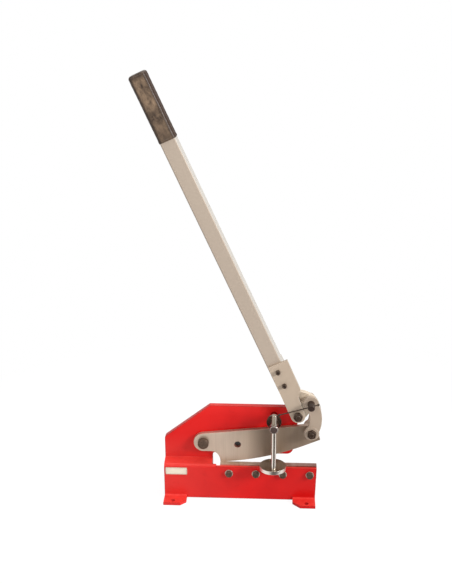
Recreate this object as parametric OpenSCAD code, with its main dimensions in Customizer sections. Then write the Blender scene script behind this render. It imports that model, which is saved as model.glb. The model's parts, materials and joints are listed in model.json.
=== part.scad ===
// Bench lever shear: a square handle drives a curved moving blade past a fixed one.
// Origin: centre of the four foot holes, on the bench. X runs along the blades, Z is up,
// and the front is towards -Y. Shown with the handle up and the blades open.

/* [Frame plates] */
// Thickness of both frame plates
plate_t = 6; // [4:0.5:10]
// Left edge of both plates
plate_x0 = -161; // [-180:1:-140]
// Right edge of the front plate at its top
plate_x1 = 162; // [140:1:180]
// Right edge of the plates at the bench
base_x1 = 160; // [140:1:180]
// Front face of the front plate
front_y = -20; // [-30:0.5:-10]
// Front face of the front plate's upper part
upper_y = 8; // [4:0.5:20]
// Top edge of the front plate's lower part
lower_top_z = 77; // [60:0.5:90]
// Underside of the plates between the feet
skirt_z = 1.5; // [1:0.5:10]
// Top edge of the upper part
upper_top_z = 205.8; // [190:0.1:210]
// Left end of the plates' top edge
top_x0 = -64.5; // [-90:0.1:-40]
// Upper end of the plates' left edge
left_top_z = 131.1; // [110:0.1:150]
// Underside of the arm over the throat
arm_z = 96; // [88:0.5:110]
// Right end of the arm's underside
arm_x1 = 111; // [104:0.5:114]
// Radius of the arm's lower right corner
arm_r = 14; // [6:0.5:18]
// Right edge between the arm and the handle pivot, X
neck_x = 116; // [112:0.5:120]
// Right edge between the arm and the handle pivot, Z
neck_z = 150; // [140:1:165]
// Right edge of the spine at the left of the throat
spine_x1 = -59; // [-80:1:-40]
// Right edge of the front shoulder
shoulder_x1 = -50; // [-70:1:-40]
// Inner radius of the two bends in the step
step_r = 1.5; // [1:0.5:8]
// Height at which the step's first bend starts
step_z = 73; // [60:0.5:80]
// Rise of the step's shelf
step_rise = 10; // [0:1:30]
// Top edge of the rear plate's low leg
leg_z = 45; // [30:1:60]

/* [Feet] */
// Width of each foot along X
foot_w = 48; // [35:1:70]
// Reach of each foot out from its plate
foot_reach = 31; // [25:1:50]
// Inner radius of the foot bends
foot_r = 4; // [2:0.5:8]
// Cut corner of the left feet
foot_cut_left = 12; // [5:0.5:20]
// Cut corner of the right feet
foot_cut_right = 16; // [5:0.5:20]
// Foot holes from the right end of the feet, and as far to the left of the middle
foot_hole_in = 18.5; // [12:0.5:30]
// Foot hole spacing along Y
foot_dy = 83; // [60:1:100]
// Foot hole diameter
foot_hole_d = 9; // [7:0.5:12]

/* [Fixed blade] */
// Thickness of the fixed blade
fixed_t = 12; // [8:0.5:16]
// Height of the fixed blade
fixed_h = 30; // [22:1:40]
// Top (cutting) edge of the fixed blade
fixed_top_z = 80.5; // [76:0.5:84]
// Left end of the fixed blade
fixed_x0 = -42; // [-50:1:-30]
// First blade bolt
blade_bolt_x0 = -23; // [-35:1:-10]
// Last blade bolt from the right end of the blade
blade_bolt_in = 14.2; // [10:0.2:40]
// Height of the blade bolts
blade_bolt_z = 62; // [60:0.1:70]
// Number of blade bolts
blade_bolt_n = 4; // [3:1:6]

/* [Moving blade] */
// Thickness of the moving blade
moving_t = 9.8; // [6:0.2:12]
// Gap between the two blades
blade_gap = 0.1; // [0.05:0.05:0.3]
// Blade pivot, X
pivot_x = -78; // [-90:1:-60]
// Blade pivot, Z
pivot_z = 124; // [110:1:140]
// Radius of the lobe round the pivot
pivot_lobe_r = 20.5; // [16:0.5:28]
// Slope of the blade's top edge
blade_slope = 6.23; // [2:0.1:12]
// Radius of the curved cutting edge
edge_r = 530; // [400:5:700]
// Slope of the cutting edge's straight end
edge_slope = 23.6; // [21:0.1:26]
// Toe of the cutting edge, X
toe_x = -42; // [-50:1:-30]
// Toe of the cutting edge, Z
toe_z = 79.4; // [74:0.1:80]
// Tip of the cutting edge, X
tip_x = 168.4; // [150:0.1:180]
// Tip of the cutting edge, Z
tip_z = 136; // [130:0.5:150]
// Top right corner of the blade, X
blade_end_x = 157.4; // [140:0.5:170]
// Width of the hollow between the toe and the pivot
hollow_w = 19; // [14:0.5:24]
// Height of the upright end of the toe, below the hollow
toe_h = 0.6; // [0.2:0.1:4]
// Bar hole diameter
bar_hole_d = 14; // [8:0.5:20]
// Bar hole, X
bar_hole_x = -5.3; // [-30:0.5:30]
// Bar hole, Z
bar_hole_z = 120.9; // [100:0.5:130]
// Wall of the die bush behind the bar hole
die_wall = 4; // [2:0.5:8]
// Width of the die bush's flange
die_flange_w = 4; // [2:0.5:8]
// Flange thickness of the die bush
die_flange_t = 5; // [3:0.5:10]

/* [Blade pivot] */
// Blade pivot bolt diameter
pivot_bolt_d = 16; // [12:1:20]
// Blade pivot head diameter
pivot_head_d = 23; // [18:0.5:30]
// Blade pivot head height
pivot_head_h = 10; // [6:0.5:14]
// Wall of the pivot bush
bush_wall = 1.95; // [1:0.05:4]

/* [Handle] */
// Handle pivot, X
crank_x = 120.5; // [100:0.5:140]
// Handle pivot, Z
crank_z = 197; // [180:1:215]
// Lean of the handle to the left at rest
lean = 24.45; // [10:0.05:40]
// Width of the square tube
tube_w = 32; // [25:1:40]
// Wall of the square tube
tube_wall = 2.5; // [1.5:0.5:5]
// Offset of the tube's centre line from the pivot
tube_n = 0.5; // [-5:0.5:5]
// Lower end of the tube, from the pivot
tube_s0 = 48; // [47:1:70]
// Upper end of the tube, from the pivot
tube_s1 = 755; // [400:5:900]
// Length of the grip
grip_len = 135.5; // [90:0.5:160]
// Wall of the grip
grip_wall = 1.8; // [1:0.1:4]
// Fork plate thickness
fork_t = 6; // [4:0.5:10]
// Left edge of the fork plates at their top, across the tube
fork_n0 = -12.5; // [-14:0.5:-8]
// Right edge of the front fork plate at its top, across the tube
fork_n1 = 30; // [20:0.5:34]
// Length of the fork plates up the tube, from the pivot
fork_s1 = 124.5; // [90:0.5:150]
// Radius of all the lobes round the handle pivot
crank_lobe_r = 15; // [12:0.5:18]
// Lower handle screw, from the pivot
screw_s0 = 75; // [60:1:90]
// Upper handle screw, from the pivot
screw_s1 = 107.7; // [95:0.5:120]
// Offset of the handle screws across the tube, from the pivot
screw_n = 2; // [-5:0.5:8]
// Handle screw diameter
screw_d = 6; // [5:0.5:8]

/* [Crank and links] */
// Crank pin from the handle pivot, X
pin_dx = 26; // [20:0.5:35]
// Crank pin from the handle pivot, Z
pin_dz = 29; // [20:0.5:35]
// Outer radius of the crank block
block_r = 47.5; // [40:0.5:47.5]
// Radius of the block round the crank pin
pin_lobe_r = 13; // [10:0.5:18]
// Front face of the block's sector
sector_y0 = 1; // [-5:0.5:5]
// Radius of the rear link's upper eye
rear_eye_r = 8.8; // [8:0.1:18]
// Link bolt in the moving blade, X
link_x = 149.5; // [140:0.5:155]
// Link bolt in the moving blade, Z
link_z = 158.3; // [150:0.5:165]
// Radius of the link eyes
eye_r = 16; // [13:0.5:18]
// Width of the links
link_w = 25.4; // [16:0.5:30]
// Bulge of the links at the middle
link_bow = 9.4; // [4:0.2:16]
// Bolt diameter of the handle pivot, crank pin and link bolt
joint_d = 10; // [8:1:14]
// Crank pin head diameter
pin_head_d = 15; // [12:0.5:20]
// Crank pin head length
pin_head_l = 22; // [15:0.5:40]
// Cross bar diameter
cross_d = 2.5; // [2:0.1:5]
// Cross bar length between its ball centres
cross_l = 83.1; // [50:0.1:120]
// Diameter of the cross bar's end balls
ball_d = 5.2; // [3:0.1:8]
// Cross bar from the seat of the crank pin's head
cross_in = 13; // [6:0.5:18]
// Gap between the crank pin's head and the cross bar's right ball, as shown
cross_out = 5; // [0.1:0.1:20]
// Angle of the cross bar above the bench
cross_tilt = 17.2; // [0:0.1:45]
// Travel of the link bolt in the link's slot
slot_l = 7.9; // [4:0.1:9]
// Drop of the slot below the bolt's centre
slot_drop = 0.56; // [0:0.01:2]
// Radius of the slot
slot_r = 6.1; // [5:0.1:7]
// Radius of the washers that cover the slots
cover_r = 14.4; // [12:0.1:15]

/* [Hold-down] */
// Stud, X
stud_x = 71; // [50:1:100]
// Stud, Z
stud_z = 188; // [180:1:195]
// Rod centre line, Y
rod_y = -54; // [-70:0.5:-40]
// Rod diameter
rod_d = 10; // [8:0.5:14]
// Top end of the rod
rod_top_z = 218; // [200:0.5:260]
// Foot disc diameter
disc_d = 55; // [40:1:60]
// Foot disc thickness
disc_t = 8; // [4:0.5:10]
// Foot disc centre, to the right of the rod
disc_dx = -1.5; // [-4:0.5:4]
// Foot disc centre, Y
disc_y = -37; // [-42:0.5:-31]
// Underside of the foot disc
disc_z = 85.5; // [83:0.5:95]
// Stud shank diameter
stud_d = 12; // [10:0.5:16]
// Diameter of the stud's eye and of the sleeve
sleeve_d = 17.5; // [16:0.5:24]
// Collar diameter
collar_d = 31; // [22:1:34]
// Collar thickness
collar_t = 6; // [2:0.5:8]
// Front face of the collar
collar_y = -28; // [-35:0.5:-10]
// Wall of the sleeve's thin neck, behind the collar
neck_wall = 1; // [1:0.5:2.5]
// Wall of the stud's eye in front of the rod
eye_wall = 4; // [2:0.5:8]

/* [Label] */
// Length of the bare label plate
label_l = 46; // [30:1:60]
// Height of the bare label plate
label_h = 16.5; // [8:0.5:20]
// Thickness of the bare label plate
label_t = 0.8; // [0.5:0.1:2]
// Label plate from the left edge of the front plate
label_in = 3; // [0:0.5:20]

/* [Hidden] */
$fn = 64;
eps = 0.01;
fit = 0.05;
screw_fit = 0.5;
slide_gap = 0.1;
run_gap = 0.3;
arc_n = 8;
// How far a flat outline reaches into the round lobe that it meets
tuck = 0.1;
// How far threads stand past their nuts
thread_out = 1.5;
// Depths of the stack, front to back
lower_y1 = front_y + plate_t;
fixed_y0 = lower_y1;
fixed_y1 = fixed_y0 + fixed_t;
moving_y0 = fixed_y1 + blade_gap;
moving_y1 = moving_y0 + moving_t;
rear_y = upper_y + plate_t;
rear_y1 = rear_y + plate_t;
tube_y0 = -11;
tube_y1 = tube_y0 + tube_w;
fork_y0 = tube_y0 - fork_t;
fork_y1 = tube_y1 + fork_t;
rear_link_y0 = rear_y;
rear_link_y1 = rear_link_y0 + fork_t;
ring_t = 1.2;
ring_w = 2.5;
ring_groove_r = 4.4;
cheek_y1 = upper_y - run_gap;
// Fasteners
joint_r = joint_d / 2;
joint_af = 17;
joint_nut_h = 8;
joint_head_h = 7;
joint_washer_t = 1.5;
thrust_washer_d = 21;
spacer_d = 19;
blade_bolt_d = 8;
blade_bolt_af = 13;
blade_bolt_h = 5.3;
blade_washer_d = 17;
blade_washer_t = 1.6;
blade_bolt_pitch = (plate_x1 - blade_bolt_in - blade_bolt_x0) / (blade_bolt_n - 1);
pivot_af = 24;
pivot_nut_h = 13;
pivot_washer_t = 2.5;
pivot_washer_d = 30;
screw_head_d = 9.6;
screw_head_h = 6;
screw_nut_af = 10;
screw_nut_h = 5;
stud_af = 19;
stud_nut_h = 6;
stud_washer_t = 2.5;
stud_washer_d = 24;
fixed_z0 = fixed_top_z - fixed_h;
stop_gap = 0.3;
grip_end_t = 4;
grip_s0 = tube_s1 - grip_len + grip_end_t;
pin_x = crank_x + pin_dx;
pin_z = crank_z + pin_dz;
pin_a = atan2(pin_dz, pin_dx);
pivot_bush_r = pivot_bolt_d / 2 + fit + bush_wall;
cross_y = fork_y0 - cross_in;
cross_right = pin_head_d / 2 + ball_d / 2 + cross_out;

// Name of the one node to draw, or all

// Geometry helpers

// Points on an arc
function arc(c, r, a0, a1, n) =
    [for (i = [0:n]) c + r * [cos(a0 + (a1 - a0) * i / n), sin(a0 + (a1 - a0) * i / n)]];

function unit(v) = v / norm(v);

// Points that round one corner
function corner(p0, p1, p2, r) =
    let (
        a = unit(p0 - p1),
        b = unit(p2 - p1),
        half = acos(a * b) / 2,
        c = p1 + unit(a + b) * r / sin(half),
        s = p1 + a * r / tan(half) - c,
        e = p1 + b * r / tan(half) - c,
        a0 = atan2(s[1], s[0]),
        turn = ((atan2(e[1], e[0]) - a0 + 540) % 360) - 180
    )
    arc(c, r, a0, a0 + turn, arc_n);

// A polygon of [x, y, corner radius] points
function rounded(p) =
    [for (i = [0:len(p) - 1])
        let (
            n = len(p),
            q0 = p[(i + n - 1) % n],
            q1 = p[i],
            q2 = p[(i + 1) % n]
        )
        each (q1[2] > 0
            ? corner([q0[0], q0[1]], [q1[0], q1[1]], [q2[0], q2[1]], q1[2])
            : [[q1[0], q1[1]]])];

// Tangent point on a circle from an outside point, on the given side
function tangent(p, r, side) =
    let (a = atan2(p[1], p[0]) + side * acos(r / norm(p)))
    r * [cos(a), sin(a)];

// An X-Z outline between two depths
module sheet(pts, y0, y1) {
    translate([0, y1, 0])
        rotate([90, 0, 0])
            linear_extrude(height = y1 - y0)
                polygon(pts);
}

// A Y-Z profile between two X positions
module folded(pts, x0, x1) {
    translate([x0, 0, 0])
        rotate([90, 0, 90])
            linear_extrude(height = x1 - x0)
                polygon(pts);
}

// A round bar along Y
module bar_y(x, z, r, y0, y1) {
    translate([x, y1, z])
        rotate([90, 0, 0])
            cylinder(r = r, h = y1 - y0);
}

// A hexagon along Y, sized across its flats
module hex_y(x, z, af, y0, y1, turn = 0) {
    translate([x, y1, z])
        rotate([90, 0, 0])
            rotate([0, 0, turn])
                cylinder(r = af / 2 / cos(30), h = y1 - y0, $fn = 6);
}

// A turned part along Y: points are [radius, depth]
module turned_y(x, z, pts) {
    translate([x, 0, z])
        rotate([-90, 0, 0])
            rotate_extrude()
                polygon(pts);
}

// Handle frame: local X is across the tube, local Z runs up the tube
module on_handle() {
    translate([crank_x, 0, crank_z])
        rotate([0, -lean, 0])
            children();
}

// Frame outlines

// Where the right edge and the top edge run into the lobe round the handle pivot
lobe_in = (crank_lobe_r - tuck) * [cos(-76), sin(-76)];
lobe_top = sqrt(max(0, pow(crank_lobe_r - tuck, 2) - pow(upper_top_z - crank_z, 2)));

// Upper part of both frame plates, down to the given height at the left
function upper_outline(z0) = rounded([
    [plate_x0, z0, 0],
    [spine_x1, z0, 0],
    [spine_x1, arm_z, 5],
    [arm_x1, arm_z, arm_r],
    [neck_x, neck_z, 20],
    [crank_x + lobe_in[0], crank_z + lobe_in[1], 0],
    [crank_x, crank_z, 0],
    [crank_x - lobe_top, upper_top_z, 0],
    [top_x0, upper_top_z, 5],
    [plate_x0, left_top_z, 8]]);

// Profile of a front foot: down the plate, round the bend and out to the front
foot_profile = concat(
    [[lower_y1, plate_t + foot_r + eps]],
    arc([front_y - foot_r, plate_t + foot_r], plate_t + foot_r, 0, -90, arc_n),
    [[front_y - foot_reach, 0], [front_y - foot_reach, plate_t]],
    arc([front_y - foot_r, plate_t + foot_r], foot_r, -90, 0, arc_n),
    [[front_y, plate_t + foot_r + eps]]);

foot_end = front_y - foot_reach;

module foot_blank(x0, cut) {
    side = x0 < 0 ? 1 : -1;
    xc = x0 < 0 ? x0 + foot_w : x0;
    difference() {
        folded(foot_profile, x0, x0 + foot_w);
        // Cut inner corner
        translate([0, 0, -1])
            linear_extrude(height = plate_t + 2)
                polygon([
                    [xc - side * cut, foot_end],
                    [xc - side * cut, foot_end - 1],
                    [xc + side, foot_end - 1],
                    [xc + side, foot_end + cut + 1],
                    [xc, foot_end + cut]]);
    }
}

// The two front feet
module feet() {
    difference() {
        union() {
            foot_blank(plate_x0, foot_cut_left);
            foot_blank(base_x1 - foot_w, foot_cut_right);
        }
        for (x = [foot_hole_in - base_x1, base_x1 - foot_hole_in])
            translate([x, -foot_dy / 2, -1])
                cylinder(r = foot_hole_d / 2, h = plate_t + 2);
    }
}

// Profile of the step: up the lower part, back along the shelf, up the upper part
step_c1 = [lower_y1 + step_r, step_z];
step_R = step_r + plate_t;
step_a = 90 + step_rise;
step_top = step_c1 + step_R * [cos(step_a), sin(step_a)];
step_y2 = upper_y - step_r;
step_z2 = step_top[1] + (step_y2 - step_r * cos(step_a) - step_top[0]) * tan(step_rise)
    + step_r * sin(step_a);
step_c2 = [step_y2, step_z2];
step_profile = concat(
    [[front_y, step_z - eps]],
    arc(step_c1, step_R, 180, step_a, arc_n),
    arc(step_c2, step_r, step_a - 180, 0, arc_n),
    [[upper_y, step_z2 + eps], [rear_y, step_z2 + eps]],
    arc(step_c2, step_R, 0, step_a - 180, arc_n),
    arc(step_c1, step_r, step_a, 180, arc_n),
    [[lower_y1, step_z - eps]]);
shoulder_profile = concat(
    [[front_y, step_z - eps]],
    arc(step_c1, step_R, 180, step_a, arc_n),
    arc(step_c1, step_r, step_a, 180, arc_n),
    [[lower_y1, step_z - eps]]);

// Bores that both upper parts share
module plate_bores() {
    bar_y(pivot_x, pivot_z, pivot_bolt_d / 2 + fit, upper_y - 1, rear_y1 + 1);
    bar_y(crank_x, crank_z, joint_r + fit, upper_y - 1, rear_y1 + 1);
    bar_y(stud_x, stud_z, stud_d / 2 + fit, upper_y - 1, rear_y1 + 1);
    bar_y(bar_hole_x, bar_hole_z, bar_hole_d / 2 + die_wall + fit, upper_y - 1, rear_y1 + 1);
}

// Upper part with its lobe round the handle pivot
module upper_part(z0, y0, y1) {
    sheet(upper_outline(z0), y0, y1);
    bar_y(crank_x, crank_z, crank_lobe_r, y0, y1);
}

module front_plate() {
    color([0.84, 0.15, 0.14])
        difference() {
            union() {
                sheet([
                    [plate_x0, plate_t + foot_r],
                    [plate_x0 + foot_w, plate_t + foot_r],
                    [plate_x0 + foot_w, skirt_z],
                    [base_x1 - foot_w, skirt_z],
                    [base_x1 - foot_w, plate_t + foot_r],
                    [base_x1, plate_t + foot_r],
                    [plate_x1, lower_top_z],
                    [shoulder_x1, lower_top_z],
                    [shoulder_x1, step_z],
                    [plate_x0, step_z]], front_y, lower_y1);
                feet();
                folded(step_profile, plate_x0, spine_x1);
                folded(shoulder_profile, spine_x1 - 1, shoulder_x1);
                upper_part(step_z2, upper_y, rear_y);
            }
            plate_bores();
            for (i = [0:blade_bolt_n - 1])
                bar_y(blade_bolt_x0 + i * blade_bolt_pitch, blade_bolt_z,
                    blade_bolt_d / 2 + screw_fit, front_y - 1, lower_y1 + 1);
        }
}

module rear_plate() {
    color([0.84, 0.15, 0.14])
        difference() {
            union() {
                upper_part(plate_t + foot_r, rear_y, rear_y1);
                sheet([
                    [plate_x0 + foot_w, skirt_z],
                    [base_x1 - foot_w, skirt_z],
                    [base_x1 - foot_w, plate_t + foot_r],
                    [base_x1, plate_t + foot_r],
                    [base_x1, leg_z],
                    [spine_x1 - 1, leg_z],
                    [spine_x1 - 1, plate_t + foot_r + 1],
                    [plate_x0 + foot_w, plate_t + foot_r + 1]], rear_y, rear_y1);
                translate([0, rear_y1 + front_y, 0])
                    mirror([0, 1, 0])
                        feet();
            }
            plate_bores();
        }
}

// Bare label plate on the front
module name_plate() {
    color([0.9, 0.87, 0.78])
        translate([plate_x0 + label_in, front_y - label_t, step_z - label_h])
            cube([label_l, label_t, label_h]);
}

module lower_blade() {
    color([0.72, 0.7, 0.67])
        difference() {
            sheet([
                [fixed_x0, fixed_z0],
                [plate_x1, fixed_z0],
                [plate_x1, fixed_top_z],
                [fixed_x0, fixed_top_z]], fixed_y0, fixed_y1);
            for (i = [0:blade_bolt_n - 1])
                bar_y(blade_bolt_x0 + i * blade_bolt_pitch, blade_bolt_z,
                    blade_bolt_d / 2 + fit, fixed_y0 - 1, fixed_y1 + 1);
        }
}

module lower_blade_bolts() {
    color([0.36, 0.33, 0.31])
        for (i = [0:blade_bolt_n - 1]) {
            bx = blade_bolt_x0 + i * blade_bolt_pitch;
            by = front_y - blade_washer_t;
            union() {
                hex_y(bx, blade_bolt_z, blade_bolt_af, by - blade_bolt_h, by, i * 17);
                bar_y(bx, blade_bolt_z, blade_bolt_d / 2, by - eps, fixed_y1 - 1);
            }
        }
}

module lower_blade_washers() {
    color([0.45, 0.42, 0.4])
        for (i = [0:blade_bolt_n - 1]) {
            bx = blade_bolt_x0 + i * blade_bolt_pitch;
            difference() {
                bar_y(bx, blade_bolt_z, blade_washer_d / 2, front_y - blade_washer_t, front_y);
                bar_y(bx, blade_bolt_z, blade_bolt_d / 2 + screw_fit,
                    front_y - blade_washer_t - 1, front_y + 1);
            }
        }
}

// Hardened bush that carries a bar against the moving blade's hole
module bar_die_bush() {
    r = bar_hole_d / 2;
    color([0.35, 0.32, 0.3])
        difference() {
            union() {
                bar_y(bar_hole_x, bar_hole_z, r + die_wall, upper_y, rear_y1 + die_flange_t);
                bar_y(bar_hole_x, bar_hole_z, r + die_wall + die_flange_w, rear_y1, rear_y1 + die_flange_t);
            }
            bar_y(bar_hole_x, bar_hole_z, r, upper_y - 1, rear_y1 + die_flange_t + 1);
        }
}

// Blade pivot

module blade_pivot_bolt() {
    hr = pivot_head_d / 2;
    nut_y1 = rear_y1 + pivot_washer_t + pivot_nut_h;
    color([0.33, 0.3, 0.28])
        turned_y(pivot_x, pivot_z, [
            [0, fixed_y1 - pivot_head_h],
            [hr - 1.5, fixed_y1 - pivot_head_h],
            [hr, fixed_y1 - pivot_head_h + 1.5],
            [hr, fixed_y1],
            [pivot_bolt_d / 2, fixed_y1],
            [pivot_bolt_d / 2, nut_y1 + 1],
            [pivot_bolt_d / 2 - 1.5, nut_y1 + 2.5],
            [0, nut_y1 + 2.5]]);
}

module blade_pivot_bush() {
    color([0.75, 0.6, 0.35])
        difference() {
            bar_y(pivot_x, pivot_z, pivot_bush_r, fixed_y1, upper_y);
            bar_y(pivot_x, pivot_z, pivot_bolt_d / 2 + fit, fixed_y1 - 1, upper_y + 1);
        }
}

module blade_pivot_washer() {
    color([0.45, 0.42, 0.4])
        difference() {
            bar_y(pivot_x, pivot_z, pivot_washer_d / 2, rear_y1, rear_y1 + pivot_washer_t);
            bar_y(pivot_x, pivot_z, pivot_bolt_d / 2 + screw_fit, rear_y1 - 1,
                rear_y1 + pivot_washer_t + 1);
        }
}

module blade_pivot_nut() {
    y0 = rear_y1 + pivot_washer_t;
    color([0.36, 0.33, 0.31])
        difference() {
            hex_y(pivot_x, pivot_z, pivot_af, y0, y0 + pivot_nut_h, 10);
            bar_y(pivot_x, pivot_z, pivot_bolt_d / 2 + fit, y0 - 1, y0 + pivot_nut_h + 1);
        }
}

// Handle pivot

module handle_pivot_bolt() {
    color([0.36, 0.33, 0.31])
        union() {
            hex_y(crank_x, crank_z, joint_af, fork_y1, fork_y1 + joint_head_h, 15);
            bar_y(crank_x, crank_z, joint_r, fork_y0 - joint_nut_h - thread_out, fork_y1 + eps);
        }
}

module handle_pivot_nut() {
    color([0.36, 0.33, 0.31])
        difference() {
            hex_y(crank_x, crank_z, joint_af, fork_y0 - joint_nut_h, fork_y0, 8);
            bar_y(crank_x, crank_z, joint_r + fit, fork_y0 - joint_nut_h - 1, fork_y0 + 1);
        }
}

// Thrust washer between the rear plate and the rear fork plate
module handle_pivot_washer() {
    color([0.45, 0.42, 0.4])
        difference() {
            bar_y(crank_x, crank_z, thrust_washer_d / 2, rear_y1, tube_y1);
            bar_y(crank_x, crank_z, joint_r + fit, rear_y1 - 1, tube_y1 + 1);
        }
}

// Hold-down, fixed parts

module hold_down_stud() {
    eye_y1 = rod_y + rod_d / 2 - 0.5;
    eye_y0 = rod_y - rod_d / 2 - eye_wall;
    nut_y1 = rear_y1 + stud_washer_t + stud_nut_h;
    color([0.62, 0.58, 0.54])
        difference() {
            turned_y(stud_x, stud_z, [
                [0, eye_y0],
                [sleeve_d / 2 - 1, eye_y0],
                [sleeve_d / 2, eye_y0 + 1],
                [sleeve_d / 2, eye_y1],
                [stud_d / 2, eye_y1],
                [stud_d / 2, nut_y1 + 1],
                [stud_d / 2 - 1, nut_y1 + 2],
                [0, nut_y1 + 2]]);
            translate([stud_x, rod_y, stud_z - sleeve_d])
                cylinder(r = rod_d / 2 + fit, h = 2 * sleeve_d);
        }
}

module hold_down_sleeve() {
    y0 = rod_y + rod_d / 2 + slide_gap;
    bore_r = stud_d / 2 + fit;
    color([0.4, 0.37, 0.35])
        difference() {
            union() {
                bar_y(stud_x, stud_z, sleeve_d / 2, y0, collar_y + eps);
                bar_y(stud_x, stud_z, collar_d / 2, collar_y, collar_y + collar_t);
                bar_y(stud_x, stud_z, bore_r + neck_wall, collar_y, upper_y);
            }
            bar_y(stud_x, stud_z, bore_r, y0 - 1, upper_y + 1);
        }
}

module hold_down_washer() {
    color([0.45, 0.42, 0.4])
        difference() {
            bar_y(stud_x, stud_z, stud_washer_d / 2, rear_y1, rear_y1 + stud_washer_t);
            bar_y(stud_x, stud_z, stud_d / 2 + screw_fit, rear_y1 - 1, rear_y1 + stud_washer_t + 1);
        }
}

module hold_down_nut() {
    y0 = rear_y1 + stud_washer_t;
    color([0.36, 0.33, 0.31])
        difference() {
            hex_y(stud_x, stud_z, stud_af, y0, y0 + stud_nut_h, 5);
            bar_y(stud_x, stud_z, stud_d / 2 + fit, y0 - 1, y0 + stud_nut_h + 1);
        }
}

// Moving blade

// Top line: touches the lobe and rises to the right
blade_n = [-sin(blade_slope), cos(blade_slope)];
blade_t0 = [pivot_x, pivot_z] + pivot_lobe_r * blade_n;
blade_end_z = blade_t0[1] + (blade_end_x - blade_t0[0]) * tan(blade_slope);
// The cutting edge runs straight down from the tip, then in an arc through the toe
edge_way = [cos(edge_slope), sin(edge_slope)];
edge_up = [-edge_way[1], edge_way[0]];
edge_toe = [toe_x - tip_x, toe_z - tip_z];
edge_rise = edge_toe * edge_up;
edge_run = edge_toe * edge_way + sqrt(edge_rise * (2 * edge_r - edge_rise));
edge_c = [tip_x, tip_z] + edge_run * edge_way + edge_r * edge_up;
edge_a0 = atan2(toe_z - edge_c[1], toe_x - edge_c[0]);
// The hollow between the toe and the pivot is a quarter of an ellipse
hollow_z = pivot_z - pivot_lobe_r + tuck;
hollow_c = [toe_x - hollow_w, toe_z + toe_h];
hollow_h = hollow_z - hollow_c[1];
blade_outline = concat(
    [blade_t0],
    corner(blade_t0, [blade_end_x, blade_end_z], [tip_x, tip_z], 1.5),
    [[tip_x, tip_z]],
    arc(edge_c, edge_r, edge_slope - 90, edge_a0, 28),
    [for (a = [0:10:90]) hollow_c + [hollow_w * cos(a), hollow_h * sin(a)]],
    [[pivot_x, hollow_z], [pivot_x, pivot_z]]);

module upper_blade() {
    color([0.72, 0.68, 0.62])
        difference() {
            union() {
                sheet(blade_outline, moving_y0, moving_y1);
                bar_y(pivot_x, pivot_z, pivot_lobe_r, moving_y0, moving_y1);
            }
            bar_y(pivot_x, pivot_z, pivot_bush_r + fit, moving_y0 - 1, moving_y1 + 1);
            bar_y(bar_hole_x, bar_hole_z, bar_hole_d / 2, moving_y0 - 1, moving_y1 + 1);
            bar_y(link_x, link_z, joint_r + fit, moving_y0 - 1, moving_y1 + 1);
        }
}

// Link bolt and its stack: rides with the moving blade

module link_bolt() {
    y0 = fork_y0 - joint_washer_t - joint_nut_h - thread_out;
    y1 = rear_link_y1 + joint_washer_t;
    color([0.36, 0.33, 0.31])
        union() {
            hex_y(link_x, link_z, joint_af, y1, y1 + joint_head_h, 12);
            bar_y(link_x, link_z, joint_r, y0, y1 + eps);
        }
}

module link_nut() {
    y1 = fork_y0 - joint_washer_t;
    color([0.36, 0.33, 0.31])
        difference() {
            hex_y(link_x, link_z, joint_af, y1 - joint_nut_h, y1, 20);
            bar_y(link_x, link_z, joint_r + fit, y1 - joint_nut_h - 1, y1 + 1);
        }
}

module link_washers() {
    color([0.45, 0.42, 0.4])
        for (y0 = [fork_y0 - joint_washer_t, rear_link_y1])
            difference() {
                bar_y(link_x, link_z, cover_r, y0, y0 + joint_washer_t);
                bar_y(link_x, link_z, joint_r + fit, y0 - 1, y0 + joint_washer_t + 1);
            }
}

module link_spacers() {
    color([0.45, 0.42, 0.4])
        for (y = [[tube_y0, moving_y0], [moving_y1, rear_link_y0]])
            difference() {
                bar_y(link_x, link_z, spacer_d / 2, y[0], y[1]);
                bar_y(link_x, link_z, joint_r + fit, y[0] - 1, y[1] + 1);
            }
}

// Handle

function square(w, r) = rounded([
    [-w / 2, -w / 2, r],
    [w / 2, -w / 2, r],
    [w / 2, w / 2, r],
    [-w / 2, w / 2, r]]);

module square_bar(w, r, s0, s1) {
    translate([tube_n, tube_y0 + tube_w / 2, s0])
        linear_extrude(height = s1 - s0)
            polygon(square(w, r));
}

module screw_bores(r, y0, y1) {
    for (s = [screw_s0, screw_s1])
        bar_y(screw_n, s, r, y0, y1);
}

module handle_tube() {
    color([0.76, 0.7, 0.62])
        on_handle()
            difference() {
                square_bar(tube_w, 3, tube_s0, tube_s1);
                square_bar(tube_w - 2 * tube_wall, 1, tube_s0 - 1, tube_s1 + 1);
                screw_bores(screw_d / 2 + fit, tube_y0 - 1, tube_y1 + 1);
            }
}

module handle_grip() {
    color([0.42, 0.36, 0.31])
        on_handle()
            difference() {
                square_bar(tube_w + 2 * grip_wall, 5, grip_s0, tube_s1 + grip_end_t);
                square_bar(tube_w + 2 * fit, 3, grip_s0 - 1, tube_s1 + fit);
            }
}

// Outline of a fork plate: its top right corner and the points down its right edge
function fork_outline(right) = concat(
    [[fork_n0, fork_s1]],
    right,
    [tangent(right[len(right) - 1], crank_lobe_r, -1)],
    [[0, 0]],
    [tangent([fork_n0, fork_s1], crank_lobe_r, 1)]);

module fork_plate(y0, right) {
    on_handle()
        difference() {
            union() {
                sheet(fork_outline(right), y0, y0 + fork_t);
                bar_y(0, 0, crank_lobe_r, y0, y0 + fork_t);
            }
            bar_y(0, 0, joint_r + fit, y0 - 1, y0 + fork_t + 1);
            screw_bores(screw_d / 2 + fit, y0 - 1, y0 + fork_t + 1);
        }
}

// The front plate's right edge turns in below the tube, to clear the crank pin's head
fork_hip = [fork_n1 - 1, 55];
fork_waist = [17.7, 39.1];
fork_s0 = 31;

module front_fork_plate() {
    color([0.76, 0.7, 0.62])
        fork_plate(fork_y0, [[fork_n1, fork_s1], fork_hip, fork_waist, [17, fork_s0]]);
}

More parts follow.
